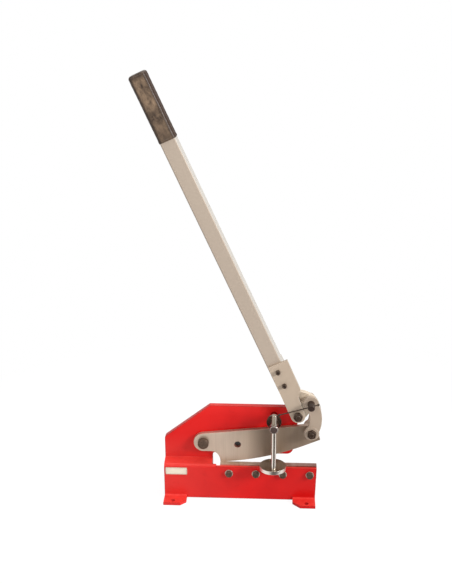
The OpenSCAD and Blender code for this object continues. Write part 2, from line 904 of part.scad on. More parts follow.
module rear_fork_plate() {
    edge = tube_n + tube_w / 2;
    color([0.76, 0.7, 0.62])
        fork_plate(tube_y1, [[edge, fork_s1], [edge, fork_s0]]);
}

// Crank block: a sector in front of the frame, an open ring part round the frame's lobe,
// and a heel that rests on the frame's top edge with the handle up
ring_play = 1.5;
ring_r = crank_lobe_r + ring_play;
heel_r = 24;
heel_z = upper_top_z + stop_gap - crank_z;
sector_a0 = 17;
sector_a1 = 128;
block_y1 = rear_y - slide_gap;

// Outline tangent to the lobes round the handle pivot and the crank pin
cheek_outline = concat(
    [crank_lobe_r * [cos(pin_a + 90), sin(pin_a + 90)],
     crank_lobe_r * [cos(pin_a - 90), sin(pin_a - 90)]],
    [[pin_dx, pin_dz] + pin_lobe_r * [cos(pin_a - 90), sin(pin_a - 90)],
     [pin_dx, pin_dz] + pin_lobe_r * [cos(pin_a + 90), sin(pin_a + 90)]]);

module crank_block() {
    color([0.74, 0.68, 0.6])
        translate([crank_x, 0, crank_z])
            difference() {
                union() {
                    bar_y(0, 0, crank_lobe_r, tube_y0, cheek_y1);
                    bar_y(pin_dx, pin_dz, pin_lobe_r, tube_y0, sector_y0 + eps);
                    sheet(cheek_outline, tube_y0, sector_y0 + eps);
                    sheet(concat([[0, 0]], arc([0, 0], block_r, sector_a0, sector_a1, 28)),
                        sector_y0, cheek_y1);
                    sheet(concat(
                        arc([0, 0], block_r, sector_a0, sector_a1, 28),
                        arc([0, 0], ring_r, sector_a1, sector_a0, 24)), cheek_y1 - eps, block_y1);
                    sheet(concat(
                        arc([0, 0], heel_r, sector_a1 - 2, 180 - asin(heel_z / heel_r), 8),
                        arc([0, 0], ring_r, 180 - asin(heel_z / ring_r), sector_a1 - 2, 8)),
                        cheek_y1 - eps, block_y1);
                }
                bar_y(0, 0, joint_r + fit, tube_y0 - 1, cheek_y1 + 1);
                bar_y(pin_dx, pin_dz, joint_r + fit, tube_y0 - 1, block_y1 + 1);
            }
}

module handle_screws() {
    color([0.3, 0.25, 0.2])
        on_handle()
            for (s = [screw_s0, screw_s1])
                union() {
                    bar_y(screw_n, s, screw_head_d / 2, fork_y0 - screw_head_h, fork_y0);
                    bar_y(screw_n, s, screw_d / 2, fork_y0 - eps, fork_y1 + screw_nut_h + 1);
                }
}

module handle_screw_nuts() {
    color([0.36, 0.33, 0.31])
        on_handle()
            for (s = [screw_s0, screw_s1])
                difference() {
                    hex_y(screw_n, s, screw_nut_af, fork_y1, fork_y1 + screw_nut_h);
                    bar_y(screw_n, s, screw_d / 2 + fit, fork_y1 - 1, fork_y1 + screw_nut_h + 1);
                }
}

module crank_pin() {
    hr = pin_head_d / 2;
    y0 = fork_y0 - pin_head_l;
    y1 = rear_link_y1 + fit;
    color([0.3, 0.27, 0.25])
        difference() {
            turned_y(pin_x, pin_z, [
                [0, y0],
                [hr - 1.5, y0],
                [hr, y0 + 1.5],
                [hr, fork_y0],
                [joint_r, fork_y0],
                [joint_r, y1],
                [ring_groove_r, y1],
                [ring_groove_r, y1 + ring_t + fit],
                [joint_r, y1 + ring_t + fit],
                [joint_r, y1 + ring_t + 0.8],
                [joint_r - 0.6, y1 + ring_t + 1.4],
                [0, y1 + ring_t + 1.4]]);
            translate([pin_x, cross_y, pin_z])
                rotate([0, 90 - cross_tilt, 0])
                    translate([0, 0, -pin_head_d])
                        cylinder(r = cross_d / 2 + fit, h = 2 * pin_head_d);
        }
}

// Retaining ring in the crank pin's groove
module crank_pin_ring() {
    y0 = rear_link_y1 + fit;
    color([0.3, 0.27, 0.25])
        difference() {
            bar_y(pin_x, pin_z, joint_r + ring_w, y0, y0 + ring_t);
            bar_y(pin_x, pin_z, ring_groove_r + fit, y0 - 1, y0 + ring_t + 1);
        }
}

// Thin cross bar that slides through the crank pin's head
module crank_pin_bar() {
    color([0.3, 0.26, 0.22])
        translate([pin_x, cross_y, pin_z])
            rotate([0, 90 - cross_tilt, 0])
                union() {
                    translate([0, 0, cross_right - cross_l])
                        cylinder(r = cross_d / 2, h = cross_l);
                    for (s = [cross_right, cross_right - cross_l])
                        translate([0, 0, s])
                            sphere(r = ball_d / 2, $fn = 24);
                }
}

// Crescent links

link_len = norm([link_x - pin_x, link_z - pin_z]);
link_a = atan2(pin_z - link_z, pin_x - link_x);
link_R = (link_len * link_len / 4 + link_bow * link_bow) / (2 * link_bow);
link_half = asin(link_len / 2 / link_R);
// Drawn with the lower eye at the local origin and the upper eye along local +Y. The band
// keeps its full width up to 0.4 of its length, then closes in to the upper eye.
link_c = [link_bow - link_R, link_len / 2];
function link_side(side, top) =
    [for (i = [0:20])
        let (
            t = i / 20,
            a = link_half * (2 * t - 1),
            k = max(0, (t - 0.4) / 0.6),
            w = link_w / 2 - (link_w / 2 - top) * k * k
        )
        link_c + (link_R + side * w) * [cos(a), sin(a)]];
function link_band(top) =
    let (inner = link_side(-1, top))
    concat(link_side(1, top), [for (i = [20:-1:0]) inner[i]]);

module link(y0, upper_r) {
    translate([link_x, 0, link_z])
        rotate([0, 90 - link_a, 0])
            difference() {
                union() {
                    sheet(link_band(min(link_w / 2, upper_r - 0.6)), y0, y0 + fork_t);
                    bar_y(0, 0, eye_r, y0, y0 + fork_t);
                    bar_y(0, link_len, upper_r, y0, y0 + fork_t);
                }
                bar_y(0, link_len, joint_r + fit, y0 - 1, y0 + fork_t + 1);
                // Slot for the opened pivot
                bar_y(0, -slot_drop, slot_r, y0 - 1, y0 + fork_t + 1);
                bar_y(-slot_l, -slot_drop, slot_r, y0 - 1, y0 + fork_t + 1);
                translate([-slot_l, y0 - 1, -slot_drop - slot_r])
                    cube([slot_l, fork_t + 2, 2 * slot_r]);
            }
}

module front_link() {
    color([0.77, 0.7, 0.61])
        link(fork_y0, eye_r);
}

module rear_link() {
    color([0.77, 0.7, 0.61])
        link(rear_link_y0, rear_eye_r);
}

// Hold-down, moving parts

// Rod with a spigot whose end is spread in a countersink under the foot
module hold_down_rod() {
    r = rod_d / 2;
    color([0.85, 0.85, 0.86])
        translate([stud_x, rod_y, 0])
            rotate_extrude()
                polygon([
                    [0, disc_z + 0.5],
                    [r - 0.6, disc_z + 0.5],
                    [r - 2, disc_z + 2.6],
                    [r - 2, disc_z + disc_t + fit],
                    [r, disc_z + disc_t + fit],
                    [r, rod_top_z - 1],
                    [r - 1, rod_top_z],
                    [0, rod_top_z]]);
}

module hold_down_foot() {
    r = rod_d / 2;
    color([0.8, 0.79, 0.78])
        difference() {
            translate([stud_x + disc_dx, disc_y, disc_z])
                cylinder(r = disc_d / 2, h = disc_t, $fn = 96);
            translate([stud_x, rod_y, disc_z])
                rotate_extrude()
                    polygon([
                        [0, -1],
                        [r - 0.45, -1],
                        [r - 0.45, 0.45],
                        [r - 2 + fit, 2.6],
                        [r - 2 + fit, disc_t + 1],
                        [0, disc_t + 1]]);
        }
}

front_plate();
rear_plate();
name_plate();
lower_blade();
lower_blade_bolts();
lower_blade_washers();
blade_pivot_bolt();
blade_pivot_bush();
blade_pivot_washer();
blade_pivot_nut();
handle_pivot_bolt();
handle_pivot_nut();
handle_pivot_washer();
bar_die_bush();
hold_down_stud();
hold_down_sleeve();
hold_down_washer();
hold_down_nut();
upper_blade();
link_bolt();
link_nut();
link_washers();
link_spacers();
handle_tube();
handle_grip();
front_fork_plate();
rear_fork_plate();
crank_block();
handle_screws();
handle_screw_nuts();
crank_pin();
crank_pin_ring();
crank_pin_bar();
front_link();
rear_link();
hold_down_rod();
hold_down_foot();
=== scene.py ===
import json
from math import cos, pi, radians, sin

import bmesh
import bpy
import numpy as np
from mathutils import Matrix, Vector


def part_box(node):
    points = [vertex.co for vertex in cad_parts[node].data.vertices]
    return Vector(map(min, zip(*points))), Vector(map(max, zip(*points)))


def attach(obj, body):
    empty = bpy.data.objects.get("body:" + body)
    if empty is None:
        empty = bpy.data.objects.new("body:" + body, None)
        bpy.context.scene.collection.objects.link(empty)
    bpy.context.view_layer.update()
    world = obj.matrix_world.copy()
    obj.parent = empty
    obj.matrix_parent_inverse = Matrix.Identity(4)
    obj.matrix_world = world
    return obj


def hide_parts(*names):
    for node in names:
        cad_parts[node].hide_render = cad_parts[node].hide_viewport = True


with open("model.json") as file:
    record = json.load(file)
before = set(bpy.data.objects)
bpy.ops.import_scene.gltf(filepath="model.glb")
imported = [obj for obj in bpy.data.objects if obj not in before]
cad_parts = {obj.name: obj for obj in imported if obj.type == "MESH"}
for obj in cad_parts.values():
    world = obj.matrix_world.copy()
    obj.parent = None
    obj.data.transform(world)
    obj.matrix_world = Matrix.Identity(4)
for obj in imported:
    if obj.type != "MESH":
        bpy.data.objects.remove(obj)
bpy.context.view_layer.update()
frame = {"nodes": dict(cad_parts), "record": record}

nodes = frame["nodes"]
body_of_node = {
    node: body
    for body, members in frame["record"]["behaviour"]["bodies"].items()
    for node in members
}

# Handle: its lean to the left, the place of its pivot, and the tube's offset, width and front
LEAN_DEGREES = 24.45
LEAN = radians(LEAN_DEGREES)
PIVOT_X = 0.1205
PIVOT_Z = 0.197
TUBE_OFFSET = 0.0005
TUBE_WIDTH = 0.032
TUBE_FRONT = -0.011

# Grip: thickness of its wall, its ends along the handle, and the rounding of its edges
GRIP_WALL = 0.0018
GRIP_LOW = 0.6235
GRIP_HIGH = 0.759
GRIP_CORNER = 0.0075
GRIP_END_ROUND = 0.0055
GRIP_POINTS = 192
GRIP_ROWS = 150

# Grip: its lip's rise, width and place above the mouth; how far its faces sink, and how far all
# of it is drawn in; the height of its two waves; the room round the tube, the rounding of its
# bore and the thickness of its lid
LIP_RISE = 0.00035
LIP_WIDTH = 0.0016
LIP_PLACE = 0.002
GRIP_SINK = 0.0005
GRIP_SHRINK = 0.0003
GRIP_WAVES = (0.00016, 0.00010)
BORE_ROOM = 0.00005
BORE_CORNER = 0.003
LID_WALL = 0.0039

# Fasteners: widths across the flats, heights of heads, radii of shanks, lengths of threads, and
# radii of the nuts' bores
BLADE_BOLT_AF = 0.013
BLADE_HEAD = 0.0053
BLADE_BOLT_RADIUS = 0.004
BLADE_THREAD = 0.016
BLADE_BOLT_TURN = radians(17)
JOINT_AF = 0.017
JOINT_HEAD = 0.007
JOINT_RADIUS = 0.005
JOINT_THREAD = 0.014
JOINT_BORE = 0.0051
PIVOT_NUT_AF = 0.024
PIVOT_BORE = 0.0081
STUD_NUT_AF = 0.019
STUD_BORE = 0.0061
SCREW_NUT_AF = 0.010
SCREW_BORE = 0.0031
SCREW_HEAD = 0.006
SCREW_HEAD_RADIUS = 0.0048
SCREW_RADIUS = 0.003
SCREW_THREAD = 0.007
SCREW_TURN = radians(11)

# Hexagons: slope of the cone that cuts the corners, its rim as a share of the width, and the dish
# in a head. Nuts: countersink of the bore. Threads: pitch, depth, rows to a turn, and length of
# the tapered end.
CONE_SLOPE = np.tan(radians(30))
CONE_RIM = 0.475
DISH = 0.0003
COUNTERSINK = 0.0007
THREAD_PITCH = 0.0015
THREAD_DEPTH = 0.0007
THREAD_ROWS = 10
THREAD_END = 0.001

# Points round a hexagon, a thread, a knurled head and the label; count and depth of the knurls
HEX_POINTS = 96
THREAD_POINTS = 48
KNURL_POINTS = 108
LABEL_POINTS = 160
KNURLS = 27
KNURL_DEPTH = 0.00012

# Label: rounding of its corners
LABEL_CORNER = 0.002

# Angle above which a new piece's edges are sharp. CAD triangles: distance below which corners
# are one, and angle below which faces are one.
SHARP = radians(32)
SAME_PLACE = 2e-6
SAME_PLANE = radians(0.5)

# Bar hole in the moving blade: X, Z and radius
BAR_HOLE = (-0.0053, 0.1209, 0.007)

# Turning rings of the foot disc: their pitch
RING_PITCH = 0.0007

# Camera: taken from the photograph, with the picture's long side as the sensor's width
IMAGE_HEIGHT = 584
FOCAL_PIXELS = 917.7
SENSOR = 36.0
CAMERA_PLACE = Vector((0.0692, -1.7313, 1.0594))
CAMERA_AZIMUTH = radians(3.225)
CAMERA_ELEVATION = radians(19.029)
CAMERA_ROLL = radians(-0.301)

# Back of the sleeve's collar, where its thin neck begins
NECK_FRONT = -0.0217

# Dark card in front: its left and right ends, depth and height
FLAG_X = (0.025, 0.29)
FLAG_Y = -0.16
FLAG_TOP = 0.135

# Floor: half its width, its depth below the feet, the distances between which its lit share
# fades, and the share and strength of its own white near the object
FLOOR_REACH = 8.0
FLOOR_DROP = 0.0004
FLOOR_FADE = (0.25, 0.9)
FLOOR_WHITE = 0.84
FLOOR_GLOW = 1.10

# World: strength of its light for all that doesn't look at it or mirror it
SURROUND_LEVEL = 0.22
WHITE = (1, 1, 1, 1)

# Lamps: name, place, width, height and power; all face one point
LAMP_AIM = (0.05, 0.0, 0.25)
LAMPS = (
    ("key", (4.75, -2.7, 2.5), 0.9, 0.9, 185),
    ("rim", (4.0, -1.1, 2.5), 0.6, 0.6, 88),
    ("overhead", (0.0, 0.0, 2.8), 1.8, 1.8, 30),
    ("front", (-1.2, -2.6, 2.0), 1.6, 1.2, 24),
)


# Colour and node helpers


def tint(red, green, blue):
    """A display colour of three values from 0 to 255, as linear light."""
    shares = np.array([red, green, blue]) / 255
    linear = np.where(shares <= 0.04045, shares / 12.92, ((shares + 0.055) / 1.055) ** 2.4)
    return (*linear.tolist(), 1.0)


class Nodes:
    """Fills a node tree. Its methods add nodes and give back the output to link on."""

    def __init__(self, tree):
        self.tree = tree

    def fill(self, socket, value):
        """Links an output to a socket, or sets the socket's constant."""
        if isinstance(value, bpy.types.NodeSocket):
            self.tree.links.new(value, socket)
        else:
            socket.default_value = value

    def put(self, node, inputs):
        for key, value in inputs.items():
            self.fill(node.inputs[key], value)

    def add(self, kind, inputs=None, **settings):
        node = self.tree.nodes.new(kind)
        for key, value in settings.items():
            setattr(node, key, value)
        self.put(node, inputs or {})
        return node

    def span(self, value, low, high, first=0.0, last=1.0):
        """Maps low..high of a value to first..last, held at both ends."""
        return self.add("ShaderNodeMapRange", {
            "Value": value,
            "From Min": low,
            "From Max": high,
            "To Min": first,
            "To Max": last,
        }).outputs[0]

    def math(self, operation, first, second=0.0):
        return self.add("ShaderNodeMath", {0: first, 1: second}, operation=operation).outputs[0]

    def times(self, first, second):
        return self.math("MULTIPLY", first, second)

    def vector(self, operation, first, second=(0, 0, 0), output="Vector"):
        return self.add(
            "ShaderNodeVectorMath", {0: first, 1: second}, operation=operation
        ).outputs[output]

    def measure(self, operation, first, second=(0, 0, 0)):
        """A number from one or two vectors: a length or a dot product."""
        return self.vector(operation, first, second, "Value")

    def split(self, vector):
        """X, Y and Z of a vector."""
        return self.add("ShaderNodeSeparateXYZ", {0: vector}).outputs

    def seen(self):
        """1 where the camera, a gloss or a glass looks, 0 for soft light."""
        rays = self.add("ShaderNodeLightPath").outputs
        mirrored = self.math("MAXIMUM", rays["Is Glossy Ray"], rays["Is Transmission Ray"])
        return self.math("MAXIMUM", rays["Is Camera Ray"], mirrored)


class Finish(Nodes):
    """A procedural material."""

    def __init__(self, name, **sockets):
        self.material = bpy.data.materials.new(name)
        self.material.use_nodes = True
        super().__init__(self.material.node_tree)
        self.shader = self.tree.nodes["Principled BSDF"]
        self.put(self.shader, {key.replace("_", " "): value for key, value in sockets.items()})
        coordinates = self.add("ShaderNodeTexCoord").outputs
        self.place, self.normal = coordinates["Object"], coordinates["Normal"]

    def mapped(self, scale=(1, 1, 1), turn=(0, 0, 0), shift=(0, 0, 0)):
        """Object coordinates, moved by shift, turned, and then stretched."""
        moved = self.vector("SUBTRACT", self.place, shift)
        turned = self.add(
            "ShaderNodeMapping", {"Vector": moved, "Rotation": turn}, vector_type="POINT"
        ).outputs[0]
        return self.vector("MULTIPLY", turned, scale)

    def noise(self, scale, detail=3.0, rough=0.5, vector=None, warp=0.0):
        """Cloudy value from 0 to 1, mostly near a half."""
        return self.add("ShaderNodeTexNoise", {
            "Vector": vector or self.place,
            "Scale": scale,
            "Detail": detail,
            "Roughness": rough,
            "Distortion": warp,
        }).outputs[0]

    def blend(self, factor, first, second):
        """A colour between two colours."""
        node = self.add("ShaderNodeMix", data_type="RGBA")
        sockets = [node.inputs["Factor"], *(s for s in node.inputs if s.type == "RGBA")]
        for socket, value in zip(sockets, (factor, first, second)):
            self.fill(socket, value)
        return next(s for s in node.outputs if s.type == "RGBA")

    def edges(self, width):
        """Near 1 on sharp outer and inner edges, 0 on flat faces: how far a normal smoothed over
        width departs from the true one."""
        smoothed = self.add("ShaderNodeBevel", {"Radius": width}, samples=6).outputs[0]
        true = self.add("ShaderNodeNewGeometry").outputs["Normal"]
        return self.span(self.measure("DOT_PRODUCT", smoothed, true), 0.995, 0.85)

    def facing(self, axis, low, high, first=0.0, last=1.0):
        """How much a face looks along an axis of its own piece, low..high mapped to first..last,
        so that the finish turns with the piece."""
        return self.span(self.split(self.normal)[axis], low, high, first, last)

    def bump(self, height, distance, strength, under=None):
        inputs = {"Height": height, "Distance": distance, "Strength": strength}
        if under is not None:
            inputs["Normal"] = under
        return self.add("ShaderNodeBump", inputs).outputs[0]

    def set(self, colour, roughness, normal, metallic=0.0):
        self.put(self.shader, {
            "Base Color": colour,
            "Roughness": roughness,
            "Normal": normal,
            "Metallic": metallic,
        })
        return self.material

    def glow(self, colour, strength):
        """A light of its own; gives back the shader's output."""
        return self.add("ShaderNodeEmission", {"Color": colour, "Strength": strength}).outputs[0]

    def surface(self, shader):
        self.tree.links.new(shader, self.tree.nodes["Material Output"].inputs["Surface"])
        return self.material


# Finishes


def red_enamel():
    """Glossy enamel over plate: slow drifts of tone, orange peel, and dark edges that are paint
    wear and painted shade along the edges. It is paler where a face looks up, from dust and
    painted sheen; paler on the left end as painted light, and along the top as a painted
    highlight; deeper low on the right as painted shade; and it ends above in a dark line."""
    f = Finish("red_enamel", Specular_IOR_Level=0.16, Coat_Weight=0.05, Coat_Roughness=0.2)
    drift = f.span(f.noise(9, 2, 0.5, warp=0.4), 0.32, 0.68)
    body = f.blend(drift, tint(208, 16, 16), tint(226, 27, 24))
    at = f.split(f.place)
    # Painted light: a paler red towards the left end, low on the plates.
    film = f.times(f.span(at["X"], 0.02, -0.16, 0.0, 0.34), f.span(at["Z"], 0.14, 0.09))
    body = f.blend(film, body, tint(240, 84, 76))
    # Painted shade: a deeper red low on the right end.
    painted_shade_right = f.times(f.span(at["X"], 0.0, 0.15, 0.0, 0.6), f.span(at["Z"], 0.10, 0.08))
    body = f.blend(painted_shade_right, body, tint(188, 16, 16))
    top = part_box("rear_plate")[1].z
    # Painted highlight: the red grows paler towards the top edge of the plates.
    pale = f.span(at["Z"], top - 0.030, top - 0.004, 0.0, 0.7)
    body = f.blend(pale, body, tint(238, 42, 38))
    grime = f.span(f.noise(60, 5, 0.65), 0.56, 0.78, 0.0, 0.35)
    body = f.blend(grime, body, tint(186, 14, 16))
    # Faces that look up, but not left, are paler: dust, and painted sheen of the light on top
    # faces.
    up = f.times(f.facing("Z", 0.3, 0.8), f.facing("X", -0.45, -0.25))
    dust_and_sheen = f.times(up, f.span(f.noise(90, 4, 0.6), 0.3, 0.6, 0.45, 0.8))
    body = f.blend(dust_and_sheen, body, tint(233, 66, 57))
    # Darker edges, broken by noise and kept off faces that look up: paint wear, and painted shade
    # along the edges.
    edge_wear_and_painted_light = f.times(f.edges(0.0020), f.span(f.noise(220, 4, 0.6), 0.3, 0.55, 0.6, 1.0))
    edge_wear_and_painted_light = f.times(edge_wear_and_painted_light, f.span(up, 0, 1, 1, 0))
    body = f.blend(edge_wear_and_painted_light, body, tint(88, 14, 13))
    crest = f.span(at["Z"], top - 0.0014, top - 0.0004, 0.0, 0.85)
    body = f.blend(crest, body, tint(112, 20, 16))
    peel = f.bump(f.noise(520, 2, 0.5), 0.0005, 0.10)
    peel = f.bump(f.noise(45, 2, 0.5), 0.003, 0.10, under=peel)
    rough = f.span(f.noise(130, 4, 0.6), 0.3, 0.7, 0.28, 0.44)
    return f.set(body, rough, peel)


def grey_enamel(name, low, high, turn=(0, 0, 0)):
    """Warm light grey paint with a satin sheen: slow cloudy tone between two colours, stretched
    along the piece, fine flecks, and paler edges that are paint wear and painted highlight. Faces
    on the right are a cooler grey as painted light, and those on the left darker as painted shade."""
    f = Finish(name, Specular_IOR_Level=0.3, Coat_Weight=0.05, Coat_Roughness=0.3)
    long_way = f.mapped((14, 14, 3), turn)
    cloud = f.span(f.noise(1.0, 3, 0.55, long_way, 0.6), 0.3, 0.7)
    body = f.blend(cloud, low, high)
    fleck = f.span(f.noise(700, 3, 0.7), 0.60, 0.80, 0.0, 0.30)
    body = f.blend(fleck, body, tint(164, 146, 124))
    # Paler edges, broken by noise: paint wear, and painted highlight where edges catch the light.
    edge_wear_and_painted_light = f.times(f.edges(0.0014), f.span(f.noise(260, 4, 0.6), 0.3, 0.55, 0.5, 1.0))
    body = f.blend(edge_wear_and_painted_light, body, tint(226, 208, 188))
    # Painted light on faces that look right, a cooler grey; painted shade on faces that look left,
    # a darker brown.
    body = f.blend(f.facing("X", 0.45, 0.8, 0.0, 0.9), body, tint(180, 175, 167))
    body = f.blend(f.facing("X", -0.45, -0.8, 0.0, 0.4), body, tint(110, 94, 78))
    skin = f.bump(f.noise(620, 2, 0.5), 0.0004, 0.12)
    skin = f.bump(f.noise(60, 2, 0.5), 0.002, 0.06, under=skin)
    rough = f.span(f.noise(90, 4, 0.6), 0.3, 0.7, 0.36, 0.50)
    return f.set(body, rough, skin)


def ground_steel(name, clean, shaded_end, shade_from, shade_to, bore=None, shade=None):
    """Surface-ground blade steel: fine marks across the blade, soft stains and bright edges.
    Painted shade turns it to a darker end colour from one place along X to another. The inside of
    a bore along Y, given as its X, Z and radius, is painted red-brown as painted shade. A darker
    stripe of painted shadow starts, is full and ends at three places along X."""
    f = Finish(name, IOR=2.0)
    along = f.split(f.place)["X"]
    marks = f.noise(1.0, 4, 0.7, f.mapped((1500, 700, 14)))
    broad = f.noise(1.0, 3, 0.5, f.mapped((60, 20, 9)), 0.8)
    body = f.blend(f.span(broad, 0.3, 0.7), clean, tint(204, 182, 162))
    # Painted shade: the colour turns to the darker end colour between two places along X.
    film = f.math("ADD", along, f.span(broad, 0.3, 0.7, -0.012, 0.012))
    film = f.times(f.span(film, shade_from, shade_to), f.span(broad, 0.3, 0.7, 1.0, 0.8))
    body = f.blend(film, body, shaded_end)
    # Painted shadow: a darker stripe along X where the hold-down rod's shadow falls on the moving
    # blade.
    if shade:
        start, full, end = shade
        painted_rod_shadow = f.times(f.span(along, start, full), f.span(along, end, end - 0.008))
        body = f.blend(f.times(painted_rod_shadow, 0.9), body, tint(118, 99, 83))
    body = f.blend(f.span(marks, 0.35, 0.75, 0.0, 0.30), body, tint(140, 122, 104))
    stain = f.span(f.noise(48, 5, 0.6), 0.60, 0.76, 0.0, 0.25)
    body = f.blend(stain, body, tint(128, 108, 88))
    body = f.blend(f.span(f.edges(0.0009), 0, 1, 0, 0.6), body, tint(224, 210, 192))
    rough, metal = f.span(marks, 0.3, 0.7, 0.30, 0.42), 0.55
    if bore:
        x, z, radius = bore
        from_axis = f.mapped((1, 0, 1), shift=(x, 0, z))
        out = f.measure("LENGTH", from_axis)
        # Painted shade: the inside of the bore is painted red-brown, and made dull and not
        # metallic.
        wall = f.span(out, radius + 0.0006, radius + 0.0001)
        body = f.blend(wall, body, tint(122, 56, 26))
        rough = f.math("MAXIMUM", rough, wall)
        metal = f.span(wall, 0, 1, metal, 0.0)
    grain = f.bump(marks, 0.0002, 0.25)
    return f.set(body, rough, grain, metal)


def black_oxide(name, low, high, smooth=0.34, dull=0.55, sprayed_from=None):
    """Blackened steel: brown-black mottling between two colours, lighter on the corners from wear
    and painted highlight. The roughness goes from smooth to dull. The frame's red may be sprayed
    over what lies behind one place along Y."""
    f = Finish(name, Specular_IOR_Level=0.35)
    patch = f.span(f.noise(240, 4, 0.6, warp=0.5), 0.32, 0.68)
    body = f.blend(patch, low, high)
    # Lighter corners, broken by noise: rubbed wear, and painted highlight on the edges.
    rub_and_highlight = f.times(f.edges(0.0007), f.span(f.noise(500, 3, 0.6), 0.35, 0.6, 0.2, 0.9))
    body = f.blend(rub_and_highlight, body, tint(172, 152, 134))
    if sprayed_from is not None:
        soft = 0.0002
        spray = f.span(f.split(f.place)["Y"], sprayed_from - soft, sprayed_from + soft)
        body = f.blend(spray, body, tint(140, 10, 10))
    pits = f.bump(f.noise(900, 3, 0.6), 0.0002, 0.25)
    rough = f.span(f.noise(400, 3, 0.6), 0.3, 0.7, smooth, dull)
    return f.set(body, rough, pits, 0.25)


def bright_steel():
    """Zinc-bright washers, with fine turning marks and a slight haze."""
    f = Finish("bright_steel", IOR=2.2)
    haze = f.span(f.noise(180, 4, 0.6), 0.3, 0.7)
    body = f.blend(haze, tint(176, 164, 150), tint(212, 201, 186))
    marks = f.noise(1.0, 3, 0.6, f.mapped((120, 2600, 120)))
    body = f.blend(f.span(marks, 0.4, 0.7, 0.0, 0.3), body, tint(140, 128, 114))
    grain = f.bump(marks, 0.0001, 0.3)
    rough = f.span(haze, 0, 1, 0.26, 0.42)
    return f.set(body, rough, grain, 0.9)


def oiled_iron():
    """Brown-black hardened bush, soaked in old oil."""
    f = Finish("oiled_iron", Specular_IOR_Level=0.3)
    soak = f.span(f.noise(300, 4, 0.6), 0.3, 0.7)
    body = f.blend(soak, tint(34, 22, 17), tint(56, 40, 31))
    return f.set(body, f.span(soak, 0, 1, 0.45, 0.7), f.bump(f.noise(900, 3, 0.6), 0.0002, 0.3))


def turned_stud():
    """Turned steel painted dark, as painted reflection of dark surroundings, and bright along its
    edges as a painted highlight.
    """
    f = Finish("turned_stud", IOR=2.2)
    marks = f.noise(1.0, 3, 0.6, f.mapped((160, 2600, 160)))
    # Painted reflection: the turned steel is dark, as it mirrors dark surroundings.
    body = f.blend(f.span(marks, 0.35, 0.7), tint(84, 58, 50), tint(60, 41, 36))
    # Painted highlight: bright along the edges.
    body = f.blend(f.span(f.edges(0.0020), 0, 0.7, 0, 1.0), body, tint(240, 230, 218))
    return f.set(body, f.span(marks, 0.3, 0.7, 0.24, 0.4), f.bump(marks, 0.0001, 0.3), 0.6)


def turned_disc():
    """Faced-off steel disc: rings round its own centre. The rings pull the gloss into wedges
    across the dark top face; the rim is painted lighter, as a painted highlight."""
    low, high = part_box("hold_down_foot")
    middle = ((low.x + high.x) / 2, (low.y + high.y) / 2, low.z)
    f = Finish("turned_disc", IOR=2.2, Anisotropic=0.8)
    from_middle = f.mapped((1, 1, 0), shift=middle)
    out = f.measure("LENGTH", from_middle)
    f.put(f.shader, {"Tangent": f.vector("CROSS_PRODUCT", from_middle, (0, 0, 1))})
    rings = f.math("SINE", f.times(out, 2 * pi / RING_PITCH))
    outward = f.add("ShaderNodeCombineXYZ", {"X": f.times(out, 900)}).outputs[0]
    drift = f.noise(1.0, 2, 0.5, outward)
    body = f.blend(f.span(drift, 0.3, 0.7), tint(132, 118, 104), tint(162, 147, 132))
    # Painted highlight: the rim, facing sideways, is lighter.
    body = f.blend(f.facing("Z", 0.85, 0.3), body, tint(236, 228, 218))
    grain = f.bump(rings, 0.00003, 0.6)
    rough = f.span(drift, 0.3, 0.7, 0.26, 0.38)
    return f.set(body, rough, grain, 1.0)


def chrome():
    """Bright chrome with faint lengthwise wipe marks and dulled fingerprints. It is dark down both
    flanks as painted reflection, and browner at its upper end, except on its right."""
    f = Finish("chrome", IOR=2.5)
    wipe = f.noise(1.0, 3, 0.6, f.mapped((900, 900, 12)))
    dull = f.span(f.noise(70, 4, 0.6), 0.52, 0.72)
    body = f.blend(f.span(wipe, 0.3, 0.7, 0.0, 1.0), tint(206, 194, 182), tint(238, 230, 220))
    # Painted reflection: dark brown down the left and right flanks.
    painted_side_reflection = f.math("MAXIMUM", f.facing("X", 0.80, 0.97), f.facing("X", -0.70, -0.95))
    body = f.blend(painted_side_reflection, body, tint(84, 64, 54))
    height = f.split(f.place)["Z"]
    # Browner towards the upper end, except on the right side.
    upper_end_brown = f.times(f.span(height, 0.184, 0.192, 0.0, 0.85), f.facing("X", 0.75, 0.5))
    body = f.blend(upper_end_brown, body, tint(128, 112, 92))
    grain = f.bump(wipe, 0.00004, 0.3)
    rough = f.math("ADD", f.span(wipe, 0.3, 0.7, 0.06, 0.12), f.times(dull, 0.10))
    return f.set(body, rough, grain, 0.85)


def bearing_bronze():
    """Turned bronze with a dull oil film."""
    f = Finish("bearing_bronze")
    film = f.span(f.noise(150, 4, 0.6), 0.3, 0.7)
    body = f.blend(film, tint(160, 112, 60), tint(196, 150, 90))
    marks = f.noise(1.0, 3, 0.6, f.mapped((100, 2400, 100)))
    return f.set(body, f.span(film, 0, 1, 0.25, 0.45), f.bump(marks, 0.0001, 0.3), 0.9)


